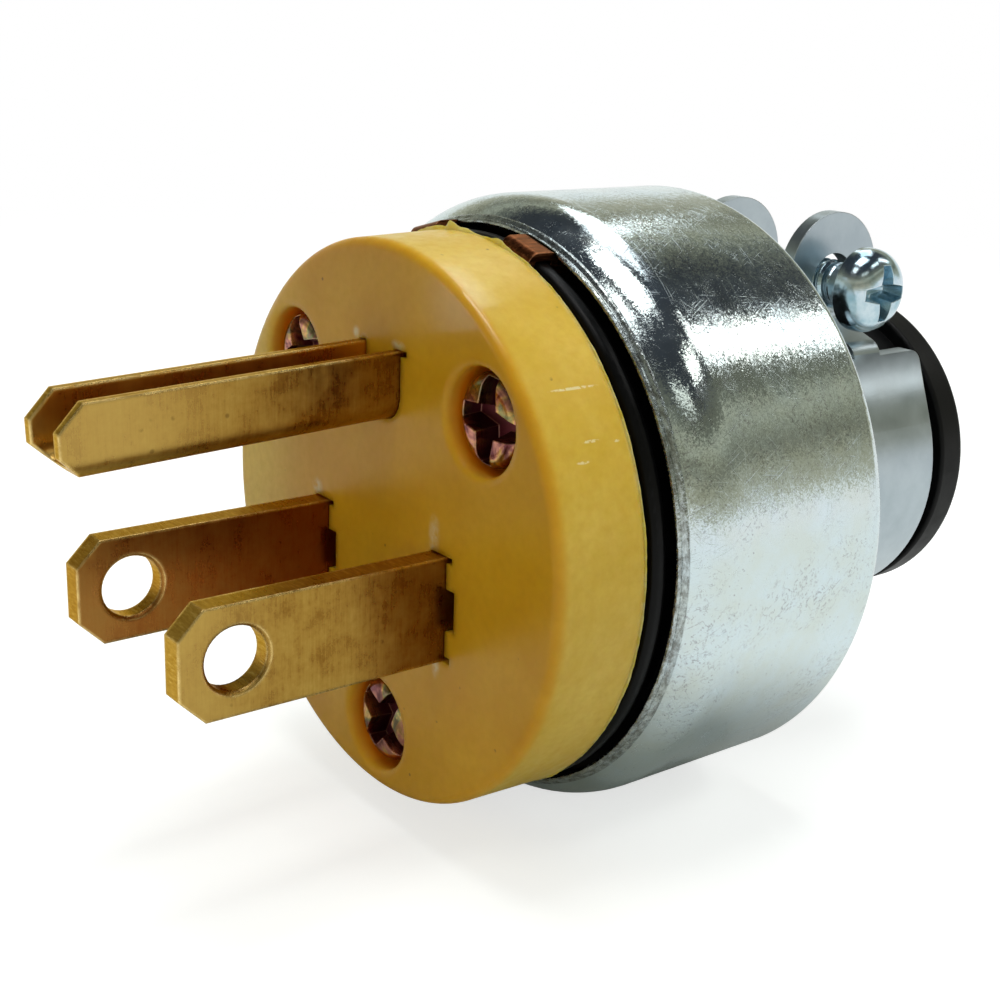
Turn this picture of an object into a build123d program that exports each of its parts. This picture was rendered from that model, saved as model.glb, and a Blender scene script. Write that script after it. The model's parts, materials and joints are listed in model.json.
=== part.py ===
from build123d import *
import math
import os

# Three-pin grounding plug with a round steel shell, in millimetres.
# The plug's axis is Y and the plane of its front face is y = 0. The blades point to -Y, the cord would
# leave to +Y, and the ground pin is on top, at +Z. Seen from the blades' side, +X is on the right.

# Flat blades
blade_spacing = 12.7
blade_width = 6.35
blade_thickness = 1.5
blade_length = 16.7
blade_level = -3.07
blade_tip_chamfer = 1.5
blade_hole_diameter = 3.7
blade_hole_from_tip = 3.4
blade_hole_bevel = 0.2
blade_shoulder_height = 1.0
blade_shoulder_length = 2.0
blade_bend_radius = 0.5

# Ground pin, folded from sheet into a U that is open at the top
pin_width = 4.2
pin_height = 4.2
pin_sheet = 0.6
pin_fold_radius = 1.5
pin_length = 20.65
pin_bottom_level = 6.87
pin_tip_chamfer = 1.45
pin_root_length = 1.2
pin_bend_radius = 8.0
pin_droop = 1.8
pin_yaw = 1.3
pin_tail_width = 5.0
pin_pad_height = 7.8
pin_pad_bend_radius = 0.4
pin_screw_height = 4.4

# Front face
face_over_bead = 0.05
face_draft = 0.15
face_thickness = 6.0
face_edge_fillet = 0.5
slot_clearance = 0.08
slot_relief_width = 0.9
slot_relief_height = 2.6
slot_relief_depth = 1.6
slot_horn_width = 0.6
slot_horn_height = 0.4
slot_horn_depth = 0.9

# Face screws, on one circle, and the nuts that they draw on
screw_from_wall = 2.4
screw_angles = (41.5, 139, 270)
face_screw_diameter = 3.0
face_screw_head_diameter = 5.4
face_screw_head_height = 1.9
face_screw_head_edge_share = 0.45
face_screw_seat_depth = 2.35
face_screw_turns = (-5, 22, 55)
counterbore_diameter = 6.15
counterbore_rim_fillet = 0.3
screw_hole_clearance = 0.2
thread_clearance = 0.05
nut_width = 5.5
nut_height = 2.4
nut_corner_radius = 0.4
nut_pocket_clearance = 0.15
nut_to_tip = 0.1

# Terminal carrier, behind the face
carrier_depth = 6.8
carrier_fit = 0.2
carrier_slot_clearance = 0.15
barrier_thickness = 1.2
barrier_height = 5.0
barrier_inner_radius = 3.5
barrier_to_pillar = 0.4

# Terminal screws and their pressure plates
terminal_screw_diameter = 3.4
terminal_screw_length = 6.5
terminal_head_diameter = 5.4
terminal_head_height = 1.9
terminal_head_edge_share = 0.4
terminal_slot_width = 0.9
terminal_slot_depth = 0.9
plate_thickness = 1.0
plate_margin = 0.3
plate_corner_radius = 0.8

# Black liner cup
wire_room_depth = 6.0
liner_floor = 3.0
liner_rim_wall = 1.0
liner_cord_hole_gap = 1.0
liner_bead_under_lip = 0.5
liner_bead_height = 0.85
liner_front_groove = 0.55
liner_bead_length = 1.15
liner_bead_fillet = 0.45
liner_lip_groove = 1.5
liner_fit = 0.3
pillar_radius = 3.4

# Steel shell
shell_radius = 19.3
shell_sheet = 0.7
shell_lip_reach = 1.54
shell_lip_gap = 0.47
shell_lip_rounding = 0.25
shell_shoulder_radius = 4.0
shell_rear_fillet = 0.8
shell_hole_gap = 0.7

# Copper ground strap
strap_sheet = 0.5
strap_clearance = 0.05
strap_recess_clearance = 0.2
strap_yoke_width = 9.0
strap_yoke_height = 8.0
strap_arm_start = 9.0
tab_angles = (74.5, 105.5)
tab_width = 2.7
tab_bend_radius = 0.4

# Cord bushing
bushing_barrel_radius = 10.0
bushing_bore_radius = 5.5
bushing_bore_chamfer = 0.8
bushing_front_flange_height = 1.6
bushing_front_flange = 0.8
bushing_rear_flange_height = 1.0
bushing_rear_flange = 2.4
bushing_rear_fillet = 0.5
bushing_step_fillet = 0.25
bushing_play = 0.05

# Cord clamp, a strap bent round the bushing, with two ears
clamp_sheet = 1.0
clamp_fit = 0.1
clamp_from_shell = 4.6
clamp_from_flange = 1.2
clamp_width = 10.6
clamp_band_drop = 1.4
clamp_ear_offset = 5.0
clamp_bend_radius = 0.75
clamp_leave_angle = 20
clamp_shoulder_rise = 0.35
clamp_neck_width = 2.6
clamp_bend_over_bushing = 0.25
clamp_ear_radius = 4.3
clamp_ear_rise = 0.5
clamp_corner_fillet = 0.7

# Clamp screw and nut
clamp_screw_over_bend = 2.75
clamp_screw_diameter = 2.9
clamp_head_diameter = 5.6
clamp_head_height = 2.2
clamp_head_edge_share = 0.8
clamp_recess_share = 0.72
clamp_head_gap = 2.5
clamp_nut_width = 4.5
clamp_nut_gap = 0.1
clamp_screw_past_nut = 0.6
clamp_hole_clearance = 0.6

# Screw tips and cross recesses
shank_tip_share = 0.15
recess_span_share = 0.94
recess_wing_share = 0.2
recess_core_share = 0.3
recess_depth_share = 0.75
recess_taper = 12

# Largest share of a short leg that a bend at its end may take, and how near two lengths count as equal
bend_share = 0.48
same_length = 1e-4

# Round sizes worked out from the shell's outside, inwards
shell_inner_radius = shell_radius - shell_sheet
shell_lip_radius = shell_radius - shell_lip_reach
shell_shoulder_centre = shell_radius - shell_shoulder_radius
shell_lip_angle = math.acos((shell_lip_radius - shell_shoulder_centre) / shell_shoulder_radius)
liner_outer_radius = shell_inner_radius - liner_fit
liner_bead_radius = shell_lip_radius - liner_bead_under_lip
liner_groove_radius = liner_bead_radius - liner_bead_height
liner_wall_radius = liner_groove_radius - liner_rim_wall
liner_cord_hole_radius = bushing_bore_radius + liner_cord_hole_gap
face_rear_radius = liner_bead_radius + face_over_bead
face_front_radius = face_rear_radius - face_draft
carrier_radius = liner_wall_radius - carrier_fit
screw_circle_radius = liner_wall_radius - screw_from_wall

# Places along the plug's axis, from the face to the rear
bead_front = face_thickness + liner_front_groove
bead_rear = bead_front + liner_bead_length
lip_groove_rear = bead_rear + liner_lip_groove
shell_shoulder_level = bead_rear + shell_lip_gap + shell_shoulder_radius * math.sin(shell_lip_angle)
carrier_rear = face_thickness + carrier_depth
liner_inner_floor = carrier_rear + wire_room_depth
liner_rear = liner_inner_floor + liner_floor
shell_inner_rear = liner_rear + bushing_front_flange + 2 * bushing_play
shell_rear = shell_inner_rear + shell_sheet
clamp_front = shell_rear + clamp_from_shell
clamp_rear = clamp_front + clamp_width
clamp_ear_level = (clamp_front + clamp_rear) / 2
bushing_flange_front = clamp_rear + clamp_from_flange
bushing_rear = bushing_flange_front + bushing_rear_flange

# Places of the pins and of the screws
blade_centre = blade_spacing / 2
blade_half_top = abs(blade_level) + blade_width / 2
blade_pad_end = math.sqrt((carrier_radius - carrier_fit) ** 2 - blade_half_top ** 2)
blade_screw_x = (blade_centre + blade_thickness / 2 + blade_pad_end) / 2
plate_size = terminal_head_diameter + 2 * plate_margin
pin_centre_level = pin_bottom_level + pin_height / 2
pin_root = face_thickness + pin_root_length
pin_screw_level = pin_bottom_level + pin_screw_height
screw_places = [
    (screw_circle_radius * math.cos(math.radians(a)), screw_circle_radius * math.sin(math.radians(a)))
    for a in screw_angles
]

# Heights of the bushing and of the clamp
bushing_front_flange_radius = bushing_barrel_radius + bushing_front_flange_height
bushing_rear_flange_radius = bushing_barrel_radius + bushing_rear_flange_height
shell_hole_radius = bushing_barrel_radius + shell_hole_gap
clamp_mid_radius = bushing_barrel_radius + clamp_fit + clamp_sheet / 2
clamp_ear_mid = clamp_ear_offset - clamp_sheet / 2
clamp_band_top = bushing_barrel_radius - clamp_band_drop
clamp_leave_turn = math.radians(clamp_leave_angle)
clamp_leave_x = clamp_mid_radius * math.cos(clamp_leave_turn)
clamp_leave_level = clamp_mid_radius * math.sin(clamp_leave_turn)
clamp_shoulder_level = clamp_band_top + clamp_shoulder_rise
clamp_side_height = clamp_shoulder_level - clamp_leave_level
clamp_shoulder_x = clamp_leave_x - clamp_side_height * math.tan(clamp_leave_turn)
clamp_bend_level = bushing_barrel_radius + clamp_bend_over_bushing
clamp_screw_level = clamp_bend_level + clamp_screw_over_bend
clamp_ear_centre = clamp_screw_level + clamp_ear_rise
clamp_ear_top = clamp_ear_centre + clamp_ear_radius


def along_y(sketch, start, end):
    """Extrude a sketch, drawn as (x, z), from y = start to y = end."""
    return Pos(0, end, 0) * extrude(Plane.XZ * sketch, end - start)


def along_x(sketch, start, end):
    """Extrude a sketch, drawn as (y, z), from x = start to x = end."""
    return Pos(start, 0, 0) * extrude(Plane.YZ * sketch, end - start)


def block(x, y, z):
    """A box between pairs of limits."""
    size = [high - low for low, high in (x, y, z)]
    middle = [(high + low) / 2 for low, high in (x, y, z)]
    return Pos(*middle) * Box(*size)


def bore_y(radius, start, end, x=0.0, z=0.0):
    """A round bar along Y."""
    return along_y(Pos(x, z) * Circle(radius), start, end)


def turned(part, angle):
    """Turn a part that points to +X about the plug's axis, up by an angle."""
    return Rot(0, -angle, 0) * part


def spun(*edges):
    """Spin an outline, drawn as (radius, y), about the plug's axis."""
    return revolve(make_face(list(edges)), axis=Axis.Y)


def outline(*points):
    """Closed straight-sided outline, as a list of edges."""
    return Polyline(*points, close=True).edges()


def rings(part, radius):
    """The round edges of one radius."""
    circles = part.edges().filter_by(GeomType.CIRCLE)
    return circles.filter_by(lambda edge: abs(edge.radius - radius) < same_length)


def cross_recess(width, depth):
    """The hole that a cross-tip driver fits, pointing down from z = 0."""
    end, wing, core = (width / 2 * share for share in
                       (recess_span_share, recess_wing_share, recess_core_share))
    arm = [(core, core), (wing, end), (-wing, end)]
    points = []
    for _ in range(4):
        points += arm
        arm = [(-y, x) for x, y in arm]
    return extrude(make_face(outline(*points)), -depth, taper=recess_taper)


def screw(diameter, length, head_diameter, head_height, edge_share, recess_share=1.0, slot=None):
    """A screw that stands on z = 0 with its head up, with a cross recess or a slot."""
    head = Pos(0, 0, head_height / 2) * Cylinder(head_diameter / 2, head_height)
    head = fillet(head.edges().group_by(Axis.Z)[-1], head_height * edge_share)
    if slot is None:
        recess = cross_recess(head_diameter * recess_share, head_height * recess_depth_share)
        head -= Pos(0, 0, head_height) * recess
    else:
        slot_width, slot_depth = slot
        head -= Pos(0, 0, head_height - slot_depth / 2) * Box(head_diameter, slot_width, slot_depth)
    shank = Pos(0, 0, -length / 2) * Cylinder(diameter / 2, length)
    shank = chamfer(shank.edges().group_by(Axis.Z)[0], diameter * shank_tip_share)
    return head + shank


def square_nut(width, screw_diameter):
    """A nut that stands on z = 0."""
    section = RectangleRounded(width, width, nut_corner_radius)
    section -= Circle(screw_diameter / 2 + thread_clearance)
    return extrude(section, nut_height)


def channel_section(grow=0.0):
    """The ground pin's U, drawn as (x, z), made larger all round by grow."""
    outer = RectangleRounded(pin_width + 2 * grow, pin_height + 2 * grow, pin_fold_radius + grow)
    square_top = Pos(0, pin_height / 4 + grow / 2) * Rectangle(pin_width + 2 * grow, pin_height / 2 + grow)
    inner_radius = pin_fold_radius - pin_sheet - grow
    inner_width = pin_width - 2 * (pin_sheet + grow)
    inner_depth = pin_height + 2 * inner_radius
    inner_middle = -pin_height / 2 + pin_sheet + grow + inner_depth / 2
    inner = Pos(0, inner_middle) * RectangleRounded(inner_width, inner_depth, inner_radius)
    return Pos(0, pin_centre_level) * (outer + square_top - inner)


def strap_plate(grow=0.0):
    """The flat middle of the ground strap, drawn as (x, z), with its arms towards the tabs."""
    arm_length = liner_groove_radius - strap_arm_start
    arm = Pos(strap_arm_start + arm_length / 2, 0) * Rectangle(arm_length, tab_width + 2 * grow)
    yoke = Rectangle(strap_yoke_width + 2 * grow, strap_yoke_height + 2 * grow)
    plate = Pos(0, pin_centre_level) * yoke
    for angle in tab_angles:
        plate += Rot(0, 0, angle) * arm
    return plate


def make_front_face():
    face = spun(*outline((0, 0), (face_front_radius, 0), (face_rear_radius, face_thickness),
                         (0, face_thickness)))
    face = fillet(face.edges().filter_by(GeomType.CIRCLE).group_by(Axis.Y)[0], face_edge_fillet)
    for x, z in screw_places:
        face -= bore_y(counterbore_diameter / 2, 0, face_screw_seat_depth, x, z)
        face -= bore_y(face_screw_diameter / 2 + screw_hole_clearance, 0, face_thickness, x, z)
    face = fillet(rings(face, counterbore_diameter / 2).group_by(Axis.Y)[0], counterbore_rim_fillet)
    half_width = blade_width / 2 + slot_clearance
    for side in (-1, 1):
        near = side * blade_centre - blade_thickness / 2 - slot_clearance
        far = side * blade_centre + blade_thickness / 2 + slot_clearance
        low, high = blade_level - half_width, blade_level + half_width
        face -= block((near, far), (0, face_thickness), (low, high))
        relief = slot_relief_height / 2
        face -= block((far, far + slot_relief_width - slot_clearance), (0, slot_relief_depth),
                      (blade_level - relief, blade_level + relief))
        for bottom in (low, high - slot_horn_height):
            face -= block((far, far + slot_horn_width - slot_clearance), (0, slot_horn_depth),
                          (bottom, bottom + slot_horn_height))
    face -= along_y(channel_section(slot_clearance), 0, face_thickness)
    corner = pin_width / 2 + slot_clearance
    pin_top = pin_bottom_level + pin_height + slot_clearance
    face -= block((corner, corner + slot_horn_width), (0, slot_horn_depth),
                  (pin_top - slot_horn_height, pin_top))
    return face


def make_blade(side):
    """A blade with a hole near its chamfered tip, bent outwards behind the carrier into a terminal pad."""
    inner, outer = blade_centre - blade_thickness / 2, blade_centre + blade_thickness / 2
    pad_rear = carrier_rear + blade_thickness
    profile = make_face(outline((inner, -blade_length), (outer, -blade_length), (outer, carrier_rear),
                                (blade_pad_end, carrier_rear), (blade_pad_end, pad_rear),
                                (inner, pad_rear)))
    inside_corner = profile.vertices().sort_by_distance((outer, carrier_rear, 0))[0]
    profile = fillet(inside_corner, blade_bend_radius)
    outside_corner = profile.vertices().sort_by_distance((inner, pad_rear, 0))[0]
    profile = fillet(outside_corner, blade_bend_radius + blade_thickness)
    half = blade_width / 2
    blade = Pos(0, 0, blade_level - half) * extrude(profile, blade_width)
    tip = blade.edges().filter_by(Axis.X).group_by(Axis.Y)[0]
    blade = chamfer(tip, blade_tip_chamfer)
    shoulder = half + blade_shoulder_height
    blade += block((inner, outer), (face_thickness, face_thickness + blade_shoulder_length),
                   (blade_level - shoulder, blade_level + shoulder))
    hole = Circle(blade_hole_diameter / 2)
    blade -= along_x(Pos(blade_hole_from_tip - blade_length, blade_level) * hole, inner, outer)
    rims = blade.edges().filter_by(GeomType.CIRCLE).filter_by(lambda e: e.center().Y < 0)
    blade = chamfer(rims, blade_hole_bevel)
    tapped = terminal_screw_diameter / 2 + thread_clearance
    blade -= bore_y(tapped, carrier_rear, pad_rear, blade_screw_x, blade_level)
    return blade if side > 0 else mirror(blade, about=Plane.YZ)


def pin_route():
    """The line that the ground pin's section follows, straight through the face and then bent a little,
    and the frame at its tip, with Y back along the pin and Z up."""
    bend = math.radians(math.hypot(pin_droop, pin_yaw))
    along, aside = pin_bend_radius * math.sin(bend), pin_bend_radius * (1 - math.cos(bend))
    across = Vector(pin_yaw, 0, -pin_droop).normalized()
    ahead = Vector(0, -1, 0)
    root = Vector(0, pin_root, pin_centre_level)
    start = Vector(0, 0, pin_centre_level)
    turn = start + ahead * along + across * aside
    onward = ahead * math.cos(bend) + across * math.sin(bend)
    tip = turn + onward * (pin_length - pin_bend_radius * bend)
    route = Wire([Line(root, start), TangentArc(start, turn, tangent=ahead), Line(turn, tip)])
    right = (Vector(1, 0, 0) - onward * onward.X).normalized()
    return route, Plane(tip, x_dir=right, z_dir=right.cross(-onward))


def make_ground_pin():
    """A folded channel with chamfered tip corners. Its floor runs back and turns up into a terminal pad."""
    route, tip = pin_route()
    pin = sweep(Pos(0, pin_root, 0) * (Plane.XZ * channel_section()), path=route)
    past = pin_height
    for side in (-1, 1):
        level = side * pin_height / 2
        beyond = level + side * past
        corner = make_face(outline((-past, beyond), (pin_tip_chamfer + past, beyond),
                                   (-past, level - side * (pin_tip_chamfer + past))))
        pin -= tip.location * extrude(Plane.YZ * corner, pin_width, both=True)
    start = pin_root - pin_sheet
    pad_rear = carrier_rear + pin_sheet
    low, top = pin_bottom_level, pin_bottom_level + pin_pad_height
    profile = make_face(outline((start, low), (pad_rear, low), (pad_rear, top), (carrier_rear, top),
                                (carrier_rear, low + pin_sheet), (start, low + pin_sheet)))
    inside_corner = profile.vertices().sort_by_distance((carrier_rear, low + pin_sheet, 0))[0]
    profile = fillet(inside_corner, pin_pad_bend_radius)
    outside_corner = profile.vertices().sort_by_distance((pad_rear, low, 0))[0]
    profile = fillet(outside_corner, pin_pad_bend_radius + pin_sheet)
    pin += along_x(profile, -pin_tail_width / 2, pin_tail_width / 2)
    tapped = terminal_screw_diameter / 2 + thread_clearance
    return pin - bore_y(tapped, carrier_rear, pad_rear, 0, pin_screw_level)


def make_strap_tab():
    """A tab that leaves the strap at +X, folds over the liner's bead and dips under the shell's lip."""
    middle = face_thickness + strap_clearance + strap_sheet / 2
    over_bead = liner_bead_radius + strap_clearance + strap_sheet / 2
    in_groove = liner_groove_radius + strap_clearance + strap_sheet / 2
    behind_bead = bead_rear + strap_clearance + strap_sheet / 2
    end = lip_groove_rear - 2 * strap_clearance
    bend = min(tab_bend_radius, bend_share * (over_bead - in_groove))
    line = FilletPolyline((carrier_radius, middle), (over_bead, middle), (over_bead, behind_bead),
                          (in_groove, behind_bead), (in_groove, end), radius=bend)
    return Pos(0, 0, -tab_width / 2) * extrude(trace(line, strap_sheet), tab_width)


def make_ground_strap():
    front = face_thickness + strap_clearance
    strap = along_y(strap_plate(), front, front + strap_sheet)
    for angle in tab_angles:
        strap += turned(make_strap_tab(), angle)
    return strap - along_y(channel_section(slot_clearance), front, front + strap_sheet)


def make_terminal_carrier():
    """A disc with slots for the blades' roots, a bed for the strap and barriers between the terminals."""
    carrier = bore_y(carrier_radius, face_thickness, carrier_rear)
    rib_length = screw_circle_radius - pillar_radius - barrier_to_pillar - barrier_inner_radius
    rib = Pos(barrier_inner_radius + rib_length / 2, carrier_rear + barrier_height / 2, 0)
    rib = rib * Box(rib_length, barrier_height, barrier_thickness)
    for angle in screw_angles:
        carrier += turned(rib, angle)
    gap = carrier_slot_clearance
    strap_depth = strap_sheet + 2 * strap_clearance
    carrier -= along_y(strap_plate(strap_recess_clearance), face_thickness, face_thickness + strap_depth)
    half = blade_width / 2 + gap
    shoulder = half + blade_shoulder_height
    hole = terminal_screw_diameter / 2 + screw_hole_clearance
    for side in (-1, 1):
        near, far = blade_centre - blade_thickness / 2 - gap, blade_centre + blade_thickness / 2 + gap
        limits = tuple(sorted((side * near, side * far)))
        level = (blade_level - half, blade_level + half)
        carrier -= block(limits, (face_thickness, carrier_rear), level)
        carrier -= block(limits, (face_thickness, face_thickness + blade_shoulder_length + gap),
                         (blade_level - shoulder, blade_level + shoulder))
        bend_room = tuple(sorted((side * far, side * (far + blade_bend_radius))))
        carrier -= block(bend_room, (carrier_rear - blade_bend_radius, carrier_rear), level)
        tip = carrier_rear + blade_thickness + plate_thickness - terminal_screw_length - gap
        carrier -= bore_y(hole, tip, carrier_rear, side * blade_screw_x, blade_level)
    root = Pos(0, pin_centre_level) * Rectangle(pin_width + 2 * gap, pin_height + 2 * gap)
    carrier -= along_y(root, face_thickness, pin_root + gap)
    tail_half = pin_tail_width / 2 + gap
    tail_top = pin_bottom_level + pin_sheet + gap
    tail = (-tail_half, tail_half)
    carrier -= block(tail, (face_thickness, carrier_rear), (pin_bottom_level - gap, tail_top))
    carrier -= block(tail, (carrier_rear - pin_pad_bend_radius, carrier_rear),
                     (tail_top, tail_top + pin_pad_bend_radius))
    tip = carrier_rear + pin_sheet + plate_thickness - terminal_screw_length - gap
    carrier -= bore_y(hole, tip, carrier_rear, 0, pin_screw_level)
    hole = face_screw_diameter / 2 + screw_hole_clearance
    for x, z in screw_places:
        carrier -= bore_y(hole, face_thickness, carrier_rear, x, z)
    return carrier


def make_body_liner():
    """The black cup: a rounded bead and a groove for the shell's lip at its rim, screw pillars inside."""
    arc_radius = shell_shoulder_radius - shell_sheet - liner_fit
    drop = math.degrees(math.asin((shell_shoulder_level - lip_groove_rear) / arc_radius))
    shoulder = CenterArc((shell_shoulder_centre, shell_shoulder_level), arc_radius, -drop, drop)
    rim = Polyline((liner_wall_radius, face_thickness), (liner_groove_radius, face_thickness),
                   (liner_groove_radius, bead_front), (liner_bead_radius, bead_front),
                   (liner_bead_radius, bead_rear), (liner_groove_radius, bead_rear),
                   (liner_groove_radius, lip_groove_rear), shoulder @ 0)
    cup = Polyline(shoulder @ 1, (liner_outer_radius, liner_rear), (liner_cord_hole_radius, liner_rear),
                   (liner_cord_hole_radius, liner_inner_floor), (liner_wall_radius, liner_inner_floor),
                   (liner_wall_radius, face_thickness))
    liner = spun(*rim.edges(), shoulder, *cup.edges())
    liner = fillet(rings(liner, liner_bead_radius), liner_bead_fillet)
    pocket = nut_width / 2 + nut_pocket_clearance
    pocket_front = liner_rear - nut_to_tip - nut_height - nut_pocket_clearance
    for angle in screw_angles:
        pillar = bore_y(pillar_radius, carrier_rear, liner_inner_floor, screw_circle_radius)
        liner += turned(pillar, angle)
    for angle in screw_angles:
        radius = face_screw_diameter / 2 + screw_hole_clearance
        hole = bore_y(radius, carrier_rear, liner_rear, screw_circle_radius)
        nut_room = block((screw_circle_radius - pocket, screw_circle_radius + pocket),
                         (pocket_front, liner_rear), (-pocket, pocket))
        liner -= turned(hole + nut_room, angle)
    return liner - along_y(strap_plate(strap_recess_clearance), face_thickness, bead_front)


def make_shell():
    """A drawn steel cup with its front lip rolled in and a hole in its rear wall."""
    lip = math.degrees(shell_lip_angle)
    inner_shoulder = shell_shoulder_radius - shell_sheet
    corner = shell_rear_fillet
    corner_middle = (shell_radius - corner, shell_rear - corner)
    shoulder_middle = (shell_shoulder_centre, shell_shoulder_level)
    outside = CenterArc(shoulder_middle, shell_shoulder_radius, -lip, lip)
    inside = CenterArc(shoulder_middle, inner_shoulder, -lip, lip)
    outer_corner = CenterArc(corner_middle, corner, 0, 90)
    inner_corner = CenterArc(corner_middle, corner - shell_sheet, 0, 90)
    wall = Polyline(outer_corner @ 1, (shell_hole_radius, shell_rear),
                    (shell_hole_radius, shell_inner_rear), inner_corner @ 1)
    shell = spun(outside, Line(outside @ 1, outer_corner @ 0), outer_corner, *wall.edges(), inner_corner,
                 Line(inner_corner @ 0, inside @ 1), inside, Line(inside @ 0, outside @ 0))
    return fillet(rings(shell, (outside @ 0).X) + rings(shell, (inside @ 0).X), shell_lip_rounding)


def make_cord_bushing():
    """A thick tube: its front flange is trapped in the shell, its rear flange shows behind the clamp."""
    front = liner_rear + bushing_play
    neck = front + bushing_front_flange
    bushing = spun(*outline((bushing_bore_radius, front), (bushing_front_flange_radius, front),
                            (bushing_front_flange_radius, neck), (bushing_barrel_radius, neck),
                            (bushing_barrel_radius, bushing_flange_front),
                            (bushing_rear_flange_radius, bushing_flange_front),
                            (bushing_rear_flange_radius, bushing_rear),
                            (bushing_bore_radius, bushing_rear)))
    circles = bushing.edges().filter_by(GeomType.CIRCLE)
    mouth = circles.group_by(Axis.Y)[-1].sort_by(SortBy.RADIUS)[0]
    bushing = chamfer(mouth, bushing_bore_chamfer)
    rear_rim = rings(bushing, bushing_rear_flange_radius).sort_by(Axis.Y)[-1]
    bushing = fillet(rear_rim, bushing_rear_fillet)
    front_rim = rings(bushing, bushing_rear_flange_radius).sort_by(Axis.Y)[0]
    return fillet(front_rim, bushing_step_fillet)


def clamp_line(side):
    """The middle line of one side of the clamp, drawn as (x, z), from the ear's top down to the band."""
    points = [(clamp_ear_mid, clamp_ear_top), (clamp_ear_mid, clamp_bend_level),
              (clamp_shoulder_x, clamp_shoulder_level), (clamp_leave_x, clamp_leave_level)]
    return FilletPolyline(*[(side * x, z) for x, z in points], radius=clamp_bend_radius)


def make_cord_clamp():
    """A strap round the bushing: a wide band with straight shoulders, and round-topped ears on necks."""
    bottom = CenterArc((0, 0), clamp_mid_radius, clamp_leave_angle, -180 - 2 * clamp_leave_angle)
    section = trace([clamp_line(1), bottom, clamp_line(-1)], clamp_sheet)
    reach = clamp_mid_radius + clamp_sheet
    band = Pos(clamp_ear_level, (clamp_band_top - reach) / 2) * Rectangle(clamp_width, clamp_band_top + reach)
    band = fillet(band.vertices().group_by(Axis.Y)[-1], clamp_corner_fillet)
    wide, narrow = clamp_ear_radius, clamp_neck_width / 2
    ear_top = CenterArc((0, clamp_ear_centre), wide, 0, 180)
    neck = Polyline(ear_top @ 1, (-narrow, clamp_bend_level), (-narrow, 0), (narrow, 0),
                    (narrow, clamp_bend_level), ear_top @ 0)
    side = band + Pos(clamp_ear_level, 0) * make_face([ear_top, *neck.edges()])
    clamp = along_y(section, clamp_front, clamp_rear) & along_x(side, -reach, reach)
    hole = Circle(clamp_screw_diameter / 2 + clamp_hole_clearance)
    return clamp - along_x(Pos(clamp_ear_level, clamp_screw_level) * hole, -reach, reach)


def make_face_screws():
    length = liner_rear - nut_to_tip - face_screw_seat_depth
    one = screw(face_screw_diameter, length, face_screw_head_diameter, face_screw_head_height,
                face_screw_head_edge_share)
    return [Pos(x, face_screw_seat_depth, z) * Rot(90, 0, turn) * one
            for (x, z), turn in zip(screw_places, face_screw_turns)]


def make_face_screw_nuts():
    front = liner_rear - nut_to_tip - nut_height
    one = Pos(screw_circle_radius, front, 0) * Rot(-90, 0, 0) * square_nut(nut_width, face_screw_diameter)
    return [turned(one, angle) for angle in screw_angles]


def make_terminal(x, z, pad_rear):
    """A terminal screw and the pressure plate under its head, on a pad that faces the rear."""
    plate = RectangleRounded(plate_size, plate_size, plate_corner_radius)
    plate -= Circle(terminal_screw_diameter / 2 + screw_hole_clearance)
    plate = along_y(Pos(x, z) * plate, pad_rear, pad_rear + plate_thickness)
    bolt = screw(terminal_screw_diameter, terminal_screw_length, terminal_head_diameter,
                 terminal_head_height, terminal_head_edge_share,
                 slot=(terminal_slot_width, terminal_slot_depth))
    return Pos(x, pad_rear + plate_thickness, z) * Rot(-90, 0, 0) * bolt, plate


def make_clamp_screw():
    seat = clamp_ear_offset + clamp_head_gap
    length = seat + clamp_ear_offset + clamp_nut_gap + nut_height + clamp_screw_past_nut
    one = screw(clamp_screw_diameter, length, clamp_head_diameter, clamp_head_height, clamp_head_edge_share,
                clamp_recess_share)
    return Pos(seat, clamp_ear_level, clamp_screw_level) * Rot(0, 90, 0) * one


def make_clamp_nut():
    nut = Rot(0, -90, 0) * square_nut(clamp_nut_width, clamp_screw_diameter)
    return Pos(-clamp_ear_offset - clamp_nut_gap, clamp_ear_level, clamp_screw_level) * nut


def export(name, part):
    """Write one node. A list of equal pieces becomes one node of separate solids."""
    shape = Compound(children=part) if isinstance(part, list) else part
    export_step(shape, os.path.join("parts", name + ".step"))


os.makedirs("parts", exist_ok=True)
export("front_face", make_front_face())
export("line_blade", make_blade(1))
export("neutral_blade", make_blade(-1))
export("ground_pin", make_ground_pin())
export("ground_strap", make_ground_strap())
export("terminal_carrier", make_terminal_carrier())
export("body_liner", make_body_liner())
export("shell", make_shell())
export("cord_bushing", make_cord_bushing())
export("cord_clamp", make_cord_clamp())
export("clamp_screw", make_clamp_screw())
export("clamp_nut", make_clamp_nut())
export("face_screws", make_face_screws())
export("face_screw_nuts", make_face_screw_nuts())
blade_pad_rear = carrier_rear + blade_thickness
terminals = {
    "line": (blade_screw_x, blade_level, blade_pad_rear),
    "neutral": (-blade_screw_x, blade_level, blade_pad_rear),
    "ground": (0, pin_screw_level, carrier_rear + pin_sheet),
}
for name, place in terminals.items():
    terminal_screw, wire_clamp = make_terminal(*place)
    export(name + "_terminal_screw", terminal_screw)
    export(name + "_wire_clamp", wire_clamp)
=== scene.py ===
import json
import math
import random

import bmesh
import bpy
from mathutils import Matrix, Vector, noise as field


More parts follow.
